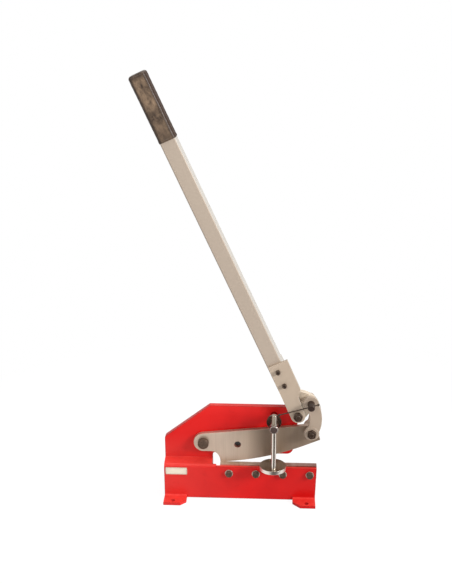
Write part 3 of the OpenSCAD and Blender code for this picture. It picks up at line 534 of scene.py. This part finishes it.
def dipped_vinyl():
    """Glossy brown-black vinyl. Cloudy paler patches, partly a blush in the vinyl and partly
    painted sheen, lie on the middle of the front and back faces, and fade out at the full corners
    and the ends. The right side is painted a redder, darker brown as painted shade, and is dull."""
    f = Finish("dipped_vinyl", Specular_IOR_Level=0.25, Coat_Weight=0.08, Coat_Roughness=0.25)
    at = f.split(f.mapped(turn=(0, LEAN, 0), shift=(PIVOT_X, 0, PIVOT_Z)))
    off_middle = f.math("ABSOLUTE", f.math("SUBTRACT", at["X"], TUBE_OFFSET))
    below_top = f.math("SUBTRACT", GRIP_HIGH, at["Z"])
    flatness = f.math("ABSOLUTE", f.split(f.normal)["Y"])
    cloud = f.noise(1.0, 3, 0.55, f.mapped((52, 52, 30), (0, LEAN, 0)), 0.8)
    spots = f.noise(1.0, 3, 0.55, f.mapped((130, 130, 80), (0, LEAN, 0)), 0.5)
    mixed = f.math("ADD", f.times(cloud, 0.6), f.times(spots, 0.4))
    # Paler cloudy patches on the flat front and back faces: partly a blush in the vinyl, partly
    # painted sheen.
    bloom_and_sheen = f.span(mixed, 0.36, 0.62)
    for share in (
        f.span(off_middle, 0.0135, 0.0095),
        f.span(below_top, 0.006, 0.014),
        f.span(below_top, 0.138, 0.060, 0.25, 1.0),
        f.span(flatness, 0.90, 0.99),
    ):
        bloom_and_sheen = f.times(bloom_and_sheen, share)
    under = f.blend(f.span(spots, 0.35, 0.65), tint(58, 45, 35), tint(76, 60, 48))
    # Painted shade: the right side is a darker, redder brown.
    under = f.blend(f.facing("X", 0.25, 0.8, 0.0, 0.85), under, tint(46, 28, 16))
    body = f.blend(bloom_and_sheen, under, tint(151, 126, 102))
    grain = f.bump(f.noise(1500, 2, 0.5), 0.0002, 0.2)
    grain = f.bump(cloud, 0.002, 0.25, under=grain)
    rough = f.span(mixed, 0.4, 0.62, 0.3, 0.5)
    rough = f.math("MAXIMUM", rough, f.facing("X", 0.25, 0.8, 0.0, 0.9))
    return f.set(body, rough, grain)


def bare_label():
    """Cream plate left bare: a faint wash and a brown rim."""
    f = Finish("bare_label", Coat_Weight=0.1, Coat_Roughness=0.3)
    wash = f.span(f.noise(1.0, 3, 0.6, f.mapped((40, 1, 160))), 0.3, 0.7)
    body = f.blend(wash, tint(232, 222, 198), tint(243, 235, 216))
    body = f.blend(f.span(f.edges(0.0016), 0, 0.8, 0, 0.9), body, tint(138, 108, 84))
    skin = f.bump(f.noise(800, 2, 0.5), 0.0001, 0.3)
    return f.set(body, f.span(wash, 0, 1, 0.34, 0.46), skin)


# Mesh helpers


def placed(name, data):
    """A new object in the scene."""
    thing = bpy.data.objects.new(name, data)
    bpy.context.scene.collection.objects.link(thing)
    return thing


def quad(name, corners, material):
    """A flat face between four corners."""
    mesh = bpy.data.meshes.new(name)
    mesh.from_pydata(corners, [], [(0, 1, 2, 3)])
    mesh.materials.append(material)
    return placed(name, mesh)


def sheet_of(points, wrap_rows=False, caps=False):
    """Vertices and faces of a grid of points [rows, columns, 3] whose columns close on themselves.
    Rows may close too, or end in poles at the middle of the first and last row."""
    rows, columns, _ = points.shape
    last = rows if wrap_rows else rows - 1
    r = np.arange(last)[:, None]
    c = np.arange(columns)[None, :]
    below, right = (r + 1) % rows, (c + 1) % columns
    quads = np.stack(
        [r * columns + c, r * columns + right, below * columns + right, below * columns + c], -1
    ).reshape(-1, 4)
    vertices = points.reshape(-1, 3)
    faces = quads.tolist()
    if caps:
        c = np.arange(columns)
        for row, order in ((0, (1, 0)), (rows - 1, (0, 1))):
            pole = len(vertices)
            vertices = np.vstack([vertices, points[row].mean(0)])
            rim = row * columns + np.stack([c, (c + 1) % columns], -1)
            faces += np.column_stack([rim[:, order], np.full(columns, pole)]).tolist()
    return vertices, faces


def piece(name, shells, material, node):
    """One object from several closed shells, smooth between its sharp edges, in a node's place."""
    vertices, faces, count = [], [], 0
    for points, cells in shells:
        vertices.append(points)
        faces += [[i + count for i in cell] for cell in cells]
        count += len(points)
    mesh = bpy.data.meshes.new(name)
    mesh.from_pydata(np.vstack(vertices).tolist(), [], faces)
    work = bmesh.new()
    work.from_mesh(mesh)
    bmesh.ops.recalc_face_normals(work, faces=work.faces)
    work.to_mesh(mesh)
    work.free()
    mesh.shade_smooth()
    mesh.set_sharp_from_angle(angle=SHARP)
    stand_in(name, mesh, material, node)


def stand_in(name, mesh, material, *members):
    """An object with its own material that takes the place and body of CAD nodes."""
    mesh.materials.append(material)
    thing = placed(name, mesh)
    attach(thing, body_of_node[members[0]])
    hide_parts(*members)
    return thing


def merged(node):
    """A copy of a CAD node's triangles with shared corners, and flat faces made whole."""
    work = bmesh.new()
    work.from_mesh(nodes[node].data)
    bmesh.ops.remove_doubles(work, verts=work.verts, dist=SAME_PLACE)
    bmesh.ops.dissolve_limit(
        work, angle_limit=SAME_PLANE, verts=work.verts, edges=work.edges
    )
    return work


def eased(node, material, width, steps=2, angle=34):
    """A copy of a CAD node with every edge over the angle broken by a small rounded bevel."""
    work = merged(node)
    mesh = bpy.data.meshes.new(node + "_eased")
    work.to_mesh(mesh)
    work.free()
    mesh.shade_smooth()
    thing = stand_in(node + "_eased", mesh, material, node)
    rounding = thing.modifiers.new("edge_break", "BEVEL")
    rounding.width = width
    rounding.segments = steps
    rounding.limit_method = "ANGLE"
    rounding.angle_limit = radians(angle)
    rounding.harden_normals = True
    rounding.use_clamp_overlap = True
    # Large faces rule the normals, so a flat face keeps an even light up to its rounded edges.
    weighted = thing.modifiers.new("flat_faces", "WEIGHTED_NORMAL")
    weighted.mode = "FACE_AREA"
    weighted.weight = 50
    weighted.keep_sharp = True


def solids(node):
    """Lowest and highest corner of each separate solid of a node, from left to right."""
    work = merged(node)
    left, boxes = set(work.verts), []
    while left:
        group, reached = set(), [left.pop()]
        while reached:
            v = reached.pop()
            group.add(v)
            near = {e.other_vert(v) for e in v.link_edges} & left
            left -= near
            reached += near
        co = np.array([v.co for v in group])
        boxes.append((co.min(0), co.max(0)))
    work.free()
    return sorted(boxes, key=lambda b: b[0][0])


# Fasteners: all stand along Y


def around(count):
    return np.arange(count) * 2 * pi / count


def hexagon(across, angles, turn):
    """Distance from the middle to a hexagon's side: half the width across the flats, over the
    cosine of the angle from the middle of the nearest flat."""
    off = (angles - turn) % (pi / 3) - pi / 6
    return across / 2 / np.cos(off)


def rings_along_y(x, z, radii, depths, angles):
    """Points of a turned shell: row i has radius radii[i] at depth depths[i]; either may vary
    with the angle."""
    rows = len(radii)
    radius = np.stack([np.broadcast_to(r, angles.shape) for r in radii])
    depth = np.stack([np.broadcast_to(d, angles.shape) for d in depths])
    points = np.empty((rows, len(angles), 3))
    points[..., 0] = x + radius * np.cos(angles)
    points[..., 1] = depth
    points[..., 2] = z + radius * np.sin(angles)
    return points


def hex_head(x, z, across, seat, height, out, turn):
    """A hexagon whose corners are cut by a cone, so that each flat ends in an arc: its top falls
    as the radius passes the cone's rim. The face has a shallow dish."""
    angles = around(HEX_POINTS)
    side = hexagon(across, angles, turn)
    rim = across * CONE_RIM
    shoulder = np.minimum(height, height - (side - rim) * CONE_SLOPE)
    radii = [side * 0.5, side, side, np.minimum(side, rim), rim * 0.80, rim * 0.70]
    depths = [0, 0, shoulder, height, height, height - DISH]
    depths = [seat + out * d for d in depths]
    return sheet_of(rings_along_y(x, z, radii, depths, angles), caps=True)


def nut(x, z, across, bore, seat, height, out, turn):
    """A hexagon with both ends cut by a cone and a countersunk bore."""
    angles = around(HEX_POINTS)
    side = hexagon(across, angles, turn)
    rim = across * CONE_RIM
    cut = np.maximum(0, (side - rim) * CONE_SLOPE)
    inner, mouth = np.minimum(side, rim), bore + COUNTERSINK
    radii = [bore, mouth, inner, side, side, inner, mouth, bore]
    depths = [COUNTERSINK, 0, 0, cut, height - cut, height, height, height - COUNTERSINK]
    depths = [seat + out * d for d in depths]
    return sheet_of(rings_along_y(x, z, radii, depths, angles), wrap_rows=True)


def threaded(x, z, radius, start, end, thread):
    """A shank from start to end. Its last stretch, as long as thread, is cut by a helix: the
    radius is the outer one less the depth times a triangle wave of turns and advance."""
    angles = around(THREAD_POINTS)
    length, way = abs(end - start), np.sign(end - start)
    steps = max(int(thread / THREAD_PITCH * THREAD_ROWS), 2)
    along = length - thread + np.linspace(0, thread, steps)
    wave = np.abs(2 * ((along[:, None] / THREAD_PITCH - angles / (2 * pi)) % 1) - 1)
    fade = np.minimum(1, (along - along[0]) / THREAD_PITCH)[:, None]
    taper = np.maximum(0, along[:, None] - (length - THREAD_END))
    rows = radius - THREAD_DEPTH * wave * fade - taper * 0.7
    radii = [radius, *rows, rows[-1] * 0.6]
    depths = [start, *(start + way * along), end]
    return sheet_of(rings_along_y(x, z, radii, depths, angles), caps=True)


def socket_head(x, z, radius, seat, height, out, turn):
    """A knurled round head with a hexagon socket: the rim ripples by a tenth of a millimetre."""
    angles = around(KNURL_POINTS)
    knurl = radius - KNURL_DEPTH * (0.5 + 0.5 * np.cos(angles * KNURLS))
    key = hexagon(radius * 0.95, angles, turn)
    mouth = radius * 0.62
    radii = [radius * 0.9, knurl, knurl, radius - 0.0006, mouth, key, key, key * 0.5]
    depths = [0, 0, height - 0.0008, height, height, height - 0.0004, height * 0.45, height * 0.38]
    depths = [seat + out * d for d in depths]
    return sheet_of(rings_along_y(x, z, radii, depths, angles), caps=True)


def blade_bolts(material):
    """Four hexagon bolts: heads in front, shanks through the plate into the fixed blade."""
    shells = []
    for i, (low, high) in enumerate(solids("lower_blade_bolts")):
        x, _, z = (low + high) / 2
        seat = low[1] + BLADE_HEAD
        turn = i * BLADE_BOLT_TURN
        shells.append(hex_head(x, z, BLADE_BOLT_AF, seat, BLADE_HEAD, -1, turn))
        shells.append(threaded(x, z, BLADE_BOLT_RADIUS, seat, high[1], BLADE_THREAD))
    piece("blade_bolts", shells, material, "lower_blade_bolts")


def joint_bolt(node, name, turn, material):
    """A bolt with its head at the back and its thread showing past the nut in front."""
    (low, high), = solids(node)
    x, _, z = (low + high) / 2
    seat = high[1] - JOINT_HEAD
    shells = [
        hex_head(x, z, JOINT_AF, seat, JOINT_HEAD, 1, radians(turn)),
        threaded(x, z, JOINT_RADIUS, seat, low[1], JOINT_THREAD),
    ]
    piece(name, shells, material, node)


def nuts(node, name, across, bore, out, turn, material):
    """Each nut of a node, seated on its face nearer the frame."""
    shells = []
    for low, high in solids(node):
        x, _, z = (low + high) / 2
        seat = low[1] if out > 0 else high[1]
        height = high[1] - low[1]
        shells.append(nut(x, z, across, bore, seat, height, out, radians(turn)))
    piece(name, shells, material, node)


def fork_screws(material):
    """Two socket screws that clamp the fork plates on the tube."""
    shells = []
    for i, (low, high) in enumerate(solids("handle_screws")):
        x, _, z = (low + high) / 2
        seat = low[1] + SCREW_HEAD
        turn = LEAN + i * SCREW_TURN
        shells.append(socket_head(x, z, SCREW_HEAD_RADIUS, seat, SCREW_HEAD, -1, turn))
        shells.append(threaded(x, z, SCREW_RADIUS, seat, high[1], SCREW_THREAD))
    piece("fork_screws", shells, material, "handle_screws")


# Grip


def on_handle(points):
    """Moves points across, through and along the handle to their place on the shear."""
    across, depth, along = points[..., 0], points[..., 1], points[..., 2]
    moved = np.empty_like(points)
    moved[..., 0] = PIVOT_X + across * cos(LEAN) - along * sin(LEAN)
    moved[..., 1] = depth
    moved[..., 2] = PIVOT_Z + across * sin(LEAN) + along * cos(LEAN)
    return moved


def rounded_square(half, corner, count):
    """Points round a square with arcs for corners: one arc, turned to each of the four."""
    angles = np.linspace(0, pi / 2, count)
    quarter = np.column_stack([
        half - corner + corner * np.cos(angles),
        half - corner + corner * np.sin(angles),
    ])
    turns = [np.array([[cos(a), sin(a)], [-sin(a), cos(a)]]) for a in np.arange(4) * pi / 2]
    return np.vstack([quarter @ t for t in turns])


def even_ring(half, corner, count):
    """The rounded square walked at an even pace, from the start of its first corner."""
    ring = rounded_square(half, corner, 24)
    ring = np.vstack([ring, ring[:1]])
    run = np.r_[0, np.cumsum(np.linalg.norm(np.diff(ring, axis=0), axis=1))]
    at = np.linspace(0, run[-1], count, endpoint=False)
    return np.column_stack([np.interp(at, run, ring[:, k]) for k in (0, 1)])


def vinyl_grip(material):
    """A dipped sleeve: a rounded square carried along the tube. It has a rolled lip at its mouth,
    faces sunk a little between full corners, slow waves and a rounded closed end."""
    half = TUBE_WIDTH / 2 + GRIP_WALL
    count, rows = GRIP_POINTS, GRIP_ROWS
    outer = even_ring(half, GRIP_CORNER, count)
    reach = np.linalg.norm(outer, axis=1)
    unit = outer / reach[:, None]
    flat = 1 - np.clip((reach - half) / (reach.max() - half), 0, 1)
    along = np.linspace(GRIP_LOW, GRIP_HIGH - GRIP_END_ROUND, rows)
    turn = np.arctan2(outer[:, 1], outer[:, 0])
    share = (along - along[0]) / (along[-1] - along[0])
    lip = LIP_RISE * np.exp(-(((along - GRIP_LOW - LIP_PLACE) / LIP_WIDTH) ** 2))
    sink = GRIP_SINK * np.minimum(1, share * 12)[:, None] * flat
    broad, fine = GRIP_WAVES
    waves = broad * np.sin(3 * turn + 24 * share[:, None]) * np.cos(41 * share[:, None])
    waves += fine * np.sin(7 * turn - 15 * share[:, None])
    grow = lip[:, None] - sink + waves - GRIP_SHRINK
    body = np.empty((rows, count, 3))
    body[..., :2] = outer + unit * grow[..., None]
    body[..., 2] = along[:, None]

    # Closed end: a quarter round, then a lid with a shallow ring sunk in it
    bend = np.linspace(0, pi / 2, 10)[1:]
    end = np.empty((len(bend), count, 3))
    pull = GRIP_END_ROUND * (1 - np.cos(bend))
    end[..., :2] = body[-1, :, :2] * (1 - pull / half)[:, None, None]
    end[..., 2] = (GRIP_HIGH - GRIP_END_ROUND + GRIP_END_ROUND * np.sin(bend))[:, None]
    lid = np.empty((4, count, 3))
    shares = np.array([0.8, 0.55, 0.3, 0.1])
    lid[..., :2] = end[-1, :, :2] * shares[:, None, None]
    lid[..., 2] = GRIP_HIGH - 0.0006 * np.sin(shares * pi)[:, None]

    # Bore, from its blind end down to the mouth
    bore = even_ring(TUBE_WIDTH / 2 + BORE_ROOM, BORE_CORNER, count)
    inside = np.empty((3, count, 3))
    inside[0, :, :2], inside[0, :, 2] = bore * 0.3, GRIP_HIGH - LID_WALL
    inside[1, :, :2], inside[1, :, 2] = bore, GRIP_HIGH - LID_WALL - BORE_ROOM
    inside[2, :, :2], inside[2, :, 2] = bore, GRIP_LOW + 0.0004
    mouth = np.empty((1, count, 3))
    mouth[0, :, :2] = (bore + body[0, :, :2]) / 2
    mouth[0, :, 2] = GRIP_LOW - 0.0002

    points = np.concatenate([inside, mouth, body, end, lid])
    points[..., 0] += TUBE_OFFSET
    points[..., 1] += TUBE_FRONT + TUBE_WIDTH / 2
    piece("vinyl_grip", [sheet_of(on_handle(points), caps=True)], material, "handle_grip")


# Label


def label_plate(material):
    """A thin plate with round corners and a raised rim; its face is bare."""
    low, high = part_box("name_plate")
    centre = (low + high) / 2
    half_w, half_h = (high.x - low.x) / 2, (high.z - low.z) / 2
    thick = high.y - low.y
    angles = around(LABEL_POINTS)
    corner = LABEL_CORNER

    def outline(inset):
        """A rounded rectangle, as four arcs about the corners of a smaller rectangle."""
        x = (half_w - corner) * np.sign(np.cos(angles)) + (corner - inset) * np.cos(angles)
        z = (half_h - corner) * np.sign(np.sin(angles)) + (corner - inset) * np.sin(angles)
        return x, z

    insets = [0.0002, 0, 0, 0.0002, 0.0009, 0.0012]
    depths = [0, 0.0001, thick - 0.0002, thick, thick, thick - 0.0003]
    points = np.empty((len(insets), len(angles), 3))
    for row, (inset, depth) in enumerate(zip(insets, depths)):
        x, z = outline(inset)
        points[row, :, 0] = centre.x + x
        points[row, :, 1] = high.y - depth
        points[row, :, 2] = centre.z + z
    piece("label_plate", [sheet_of(points, caps=True)], material, "name_plate")


# The shear


def dress():
    red = red_enamel()
    grey = grey_enamel("grey_enamel", tint(182, 163, 143), tint(194, 175, 155))
    link_grey = grey_enamel("link_enamel", tint(170, 151, 133), tint(182, 163, 145))
    # A lighter copy of the grey paint for the crank block: painted light where the block lies in
    # the link's shadow.
    crank_lit_grey = grey_enamel("crank_lit_enamel", tint(208, 190, 168), tint(215, 199, 178))
    tube_grey = grey_enamel("tube_enamel", tint(181, 165, 149), tint(187, 171, 154), (0, LEAN, 0))
    # Painted shade darkens the moving blade towards the right, and a painted shadow of the rod
    # lies across it.
    moving = ground_steel(
        "moving_blade_steel", tint(190, 168, 148), tint(170, 147, 125), -0.025, 0.045,
        bore=BAR_HOLE, shade=(0.015, 0.055, 0.074),
    )
    # Painted shade: the fixed blade turns a darker red-brown towards its right end.
    fixed = ground_steel("fixed_blade_steel", tint(172, 136, 112), tint(118, 44, 26), 0.0, 0.15)
    bolt_black = black_oxide("bolt_oxide", tint(68, 51, 39), tint(94, 74, 59))
    deep_black = black_oxide("deep_oxide", tint(46, 32, 23), tint(70, 51, 38))
    pin_black = black_oxide("pin_oxide", tint(30, 17, 11), tint(54, 35, 25))
    sleeve_black = black_oxide(
        "sleeve_oxide", tint(40, 26, 19), tint(82, 60, 47), 0.14, 0.30, NECK_FRONT
    )
    bright = bright_steel()

    # CAD nodes, their finish, and the width, steps and least angle of their broken edges
    for members, finish, *cut in (
        (("front_plate", "rear_plate"), red, 0.0009, 3),
        (("front_fork_plate", "rear_fork_plate"), grey, 0.0021, 4),
        (("front_link", "rear_link"), link_grey, 0.0021, 4),
        (("crank_block",), crank_lit_grey, 0.0012, 3),
        (("handle_tube",), tube_grey, 0.0004),
        (("lower_blade",), fixed, 0.0003),
        (("upper_blade",), moving, 0.0004),
        (("lower_blade_washers", "blade_pivot_washer"), bright, 0.0003),
        (("hold_down_washer", "handle_pivot_washer"), bright, 0.0003),
        (("link_washers",), link_grey, 0.0005),
        (("crank_pin", "crank_pin_ring", "link_spacers"), pin_black, 0.0004),
        (("hold_down_sleeve",), sleeve_black, 0.0004),
        (("blade_pivot_bolt",), bolt_black, 0.0004),
        (("bar_die_bush",), oiled_iron(), 0.0004),
        (("crank_pin_bar",), deep_black, 0.0002, 2, 50),
        (("blade_pivot_bush",), bearing_bronze(), 0.0002),
        (("hold_down_stud",), turned_stud(), 0.0008, 3),
        (("hold_down_rod",), chrome(), 0.0003),
        (("hold_down_foot",), turned_disc(), 0.0006, 3),
    ):
        for node in members:
            eased(node, finish, *cut)

    blade_bolts(bolt_black)
    joint_bolt("handle_pivot_bolt", "handle_pivot_screw", 15, deep_black)
    joint_bolt("link_bolt", "link_screw", 12, deep_black)
    # Node of nuts, name of the piece, width, bore, direction along Y, turn in degrees and finish
    for row in (
        ("handle_pivot_nut", "handle_pivot_hexagon", JOINT_AF, JOINT_BORE, -1, 8, deep_black),
        ("link_nut", "link_hexagon", JOINT_AF, JOINT_BORE, -1, 20, deep_black),
        ("blade_pivot_nut", "blade_pivot_hexagon", PIVOT_NUT_AF, PIVOT_BORE, 1, 10, bolt_black),
        ("hold_down_nut", "hold_down_hexagon", STUD_NUT_AF, STUD_BORE, 1, 5, bolt_black),
        ("handle_screw_nuts", "fork_hexagons", SCREW_NUT_AF, SCREW_BORE, 1, LEAN_DEGREES,
         deep_black),
    ):
        nuts(*row)
    fork_screws(deep_black)
    vinyl_grip(dipped_vinyl())
    label_plate(bare_label())


# Floor, light and camera


def white_ground():
    """White where the camera, a gloss or a glass looks, and a plain pale floor for soft light.
    Near the object a share of the lit floor is kept, so that its shadow shows."""
    f = Finish("white_ground", Base_Color=(0.80, 0.80, 0.80, 1), Roughness=0.9)
    out = f.measure("LENGTH", f.place)
    white = f.times(f.seen(), f.span(out, *FLOOR_FADE, FLOOR_WHITE, 1.0))
    glow = f.glow(WHITE, f.span(out, *FLOOR_FADE, FLOOR_GLOW, 1.0))
    mixed = f.add("ShaderNodeMixShader", {0: white, 1: f.shader.outputs[0], 2: glow})
    return f.surface(mixed.outputs[0])


def floor():
    reach = FLOOR_REACH
    ground = quad("floor", [
        (x, y, -FLOOR_DROP)
        for x, y in ((-reach, -reach), (reach, -reach), (reach, reach), (-reach, reach))
    ], white_ground())


def card_brown():
    """The dark brown of the card, the same from all sides and in any light."""
    f = Finish("card_brown")
    return f.surface(f.glow(tint(52, 39, 31), 1.0))


def flag():
    """A low dark card that only a gloss sees: it darkens the right half of the ground blade and
    draws a dark line down the chromed rod."""
    left, right = FLAG_X
    card = quad("flag", [
        (x, FLAG_Y, z) for x, z in ((left, 0), (right, 0), (right, FLAG_TOP), (left, FLAG_TOP))
    ], card_brown())
    card.visible_camera = False
    card.visible_diffuse = False
    card.visible_shadow = False


def surround():
    """World: white where it is seen or mirrored, a low even light for everything else."""
    world = bpy.data.worlds.new("surround")
    bpy.context.scene.world = world
    world.use_nodes = True
    n = Nodes(world.node_tree)
    level = n.span(n.seen(), 0.0, 1.0, SURROUND_LEVEL, 1.0)
    n.put(n.tree.nodes["Background"], {"Color": WHITE, "Strength": level})


def softbox(name, place, width, height, power):
    """A rectangular lamp at a place, facing the lamps' common aim."""
    lamp = bpy.data.lights.new(name, "AREA")
    lamp.shape = "RECTANGLE"
    lamp.size = width
    lamp.size_y = height
    lamp.energy = power
    thing = placed(name, lamp)
    thing.location = place
    thing.rotation_euler = (Vector(LAMP_AIM) - Vector(place)).to_track_quat("-Z", "Y").to_euler()


def lights():
    """A far key, high on the right; a smaller one that grazes the fronts from the same side; one
    overhead; and one in front, high on the left."""
    for lamp in LAMPS:
        softbox(*lamp)


def camera():
    """The photograph's viewpoint. The lens follows from the focal length in pixels."""
    data = bpy.data.cameras.new("camera")
    data.sensor_width = SENSOR
    data.lens = FOCAL_PIXELS / IMAGE_HEIGHT * SENSOR
    data.clip_start = 0.05
    data.clip_end = 50
    a, e, r = CAMERA_AZIMUTH, CAMERA_ELEVATION, CAMERA_ROLL
    back = Vector((sin(a) * cos(e), -cos(a) * cos(e), sin(e)))
    level = Vector((cos(a), sin(a), 0))
    up = back.cross(level)
    right = cos(r) * level + sin(r) * up
    top = cos(r) * up - sin(r) * level
    thing = placed("camera", data)
    turn = Matrix((right, top, back)).transposed().to_4x4()
    thing.matrix_world = Matrix.Translation(CAMERA_PLACE) @ turn
    bpy.context.scene.camera = thing


dress()
floor()
flag()
surround()
lights()
camera()
bpy.context.scene.view_settings.view_transform = "Standard"
